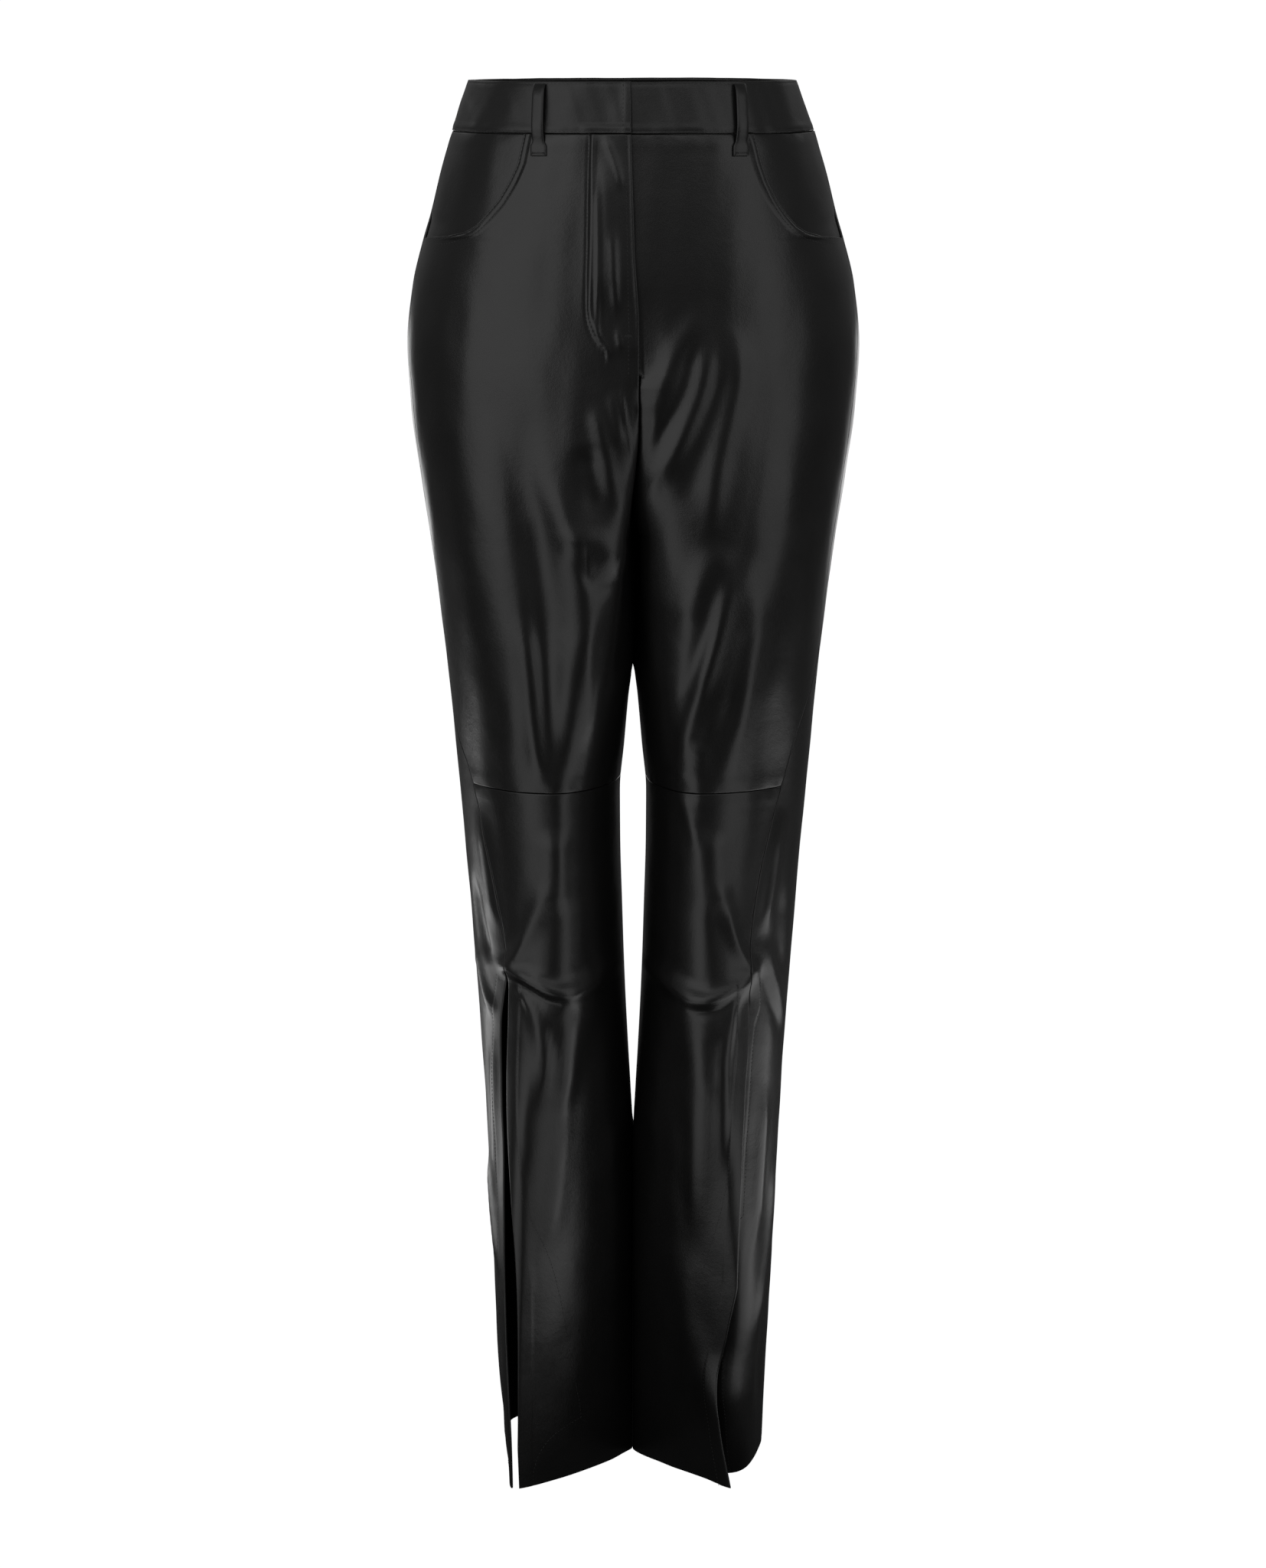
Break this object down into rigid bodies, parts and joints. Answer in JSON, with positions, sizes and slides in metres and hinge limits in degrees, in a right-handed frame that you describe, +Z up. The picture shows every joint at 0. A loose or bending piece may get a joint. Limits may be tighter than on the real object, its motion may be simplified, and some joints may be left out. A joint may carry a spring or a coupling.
{
  "type": "leather trousers",
  "caption": "High-waisted straight-leg black leather trousers with a fly, scoop pockets, belt loops, a knee seam and a slit at the front of each hem, filled out as if worn.",
  "frame": {"origin": "centre of the waistband's top edge, level with it, where the wearer's waist holds the trousers", "axes": "+Z up, -Y the front of the trousers, +X the wearer's left"},
  "size_m": [0.3424, 0.2383, 1.08],
  "materials": {
    "black_leather": "smooth semi-gloss black leather with a fine grain",
    "black_leather_band": "smooth semi-gloss black leather, folded over and edge-stitched"
  },
  "bodies": {
    "root": {"waistband": "black_leather_band", "front_upper_right": "black_leather", "front_upper_left": "black_leather", "front_lower_right": "black_leather", "front_lower_left": "black_leather", "back_right": "black_leather", "back_left": "black_leather", "hip_piece_right": "black_leather", "hip_piece_left": "black_leather", "belt_loop_front_right": "black_leather_band", "belt_loop_front_left": "black_leather_band", "belt_loop_side_right": "black_leather_band", "belt_loop_side_left": "black_leather_band", "belt_loop_back": "black_leather_band"}
  },
  "joints": []
}
